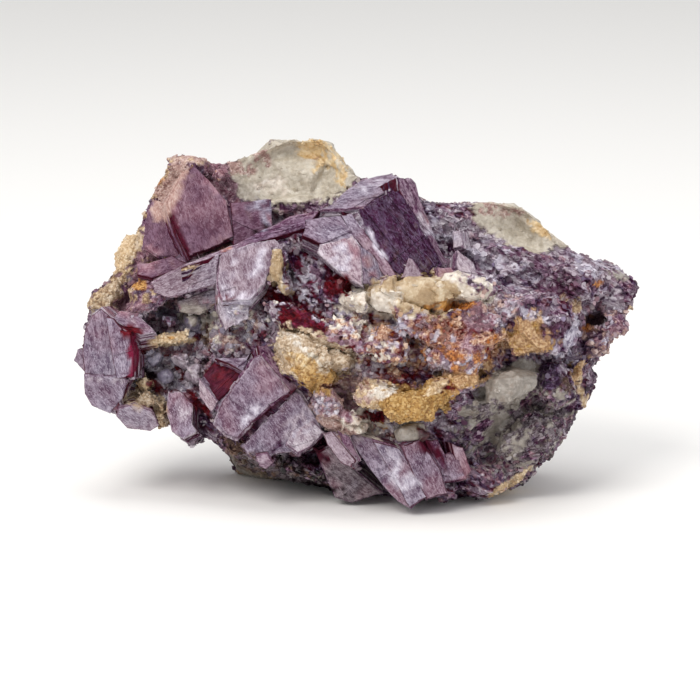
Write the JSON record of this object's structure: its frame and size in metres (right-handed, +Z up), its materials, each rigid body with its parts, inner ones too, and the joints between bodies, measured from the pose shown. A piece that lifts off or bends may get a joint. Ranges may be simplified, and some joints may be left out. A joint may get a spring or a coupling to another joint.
{
  "type": "raw lepidolite specimen",
  "caption": "Rough hand-sized stone of lilac mica books grown together with quartz and stained feldspar, resting on its flattened low corners.",
  "frame": {"origin": "centre of the outer box's underside, on the surface that the stone rests on", "axes": "+X along the stone's length, to the right as its front is seen; -Y toward the viewer of the front; +Z up"},
  "size_m": [0.0796, 0.0442, 0.0487],
  "materials": {
    "lepidolite": "pearly lilac mica in stacked sheets, rough between them",
    "quartz": "greyish white, glassy and cloudy",
    "feldspar": "cream to ochre crust, dull and grainy"
  },
  "bodies": {
    "root": {"lepidolite_stone": "lepidolite"}
  },
  "joints": []
}
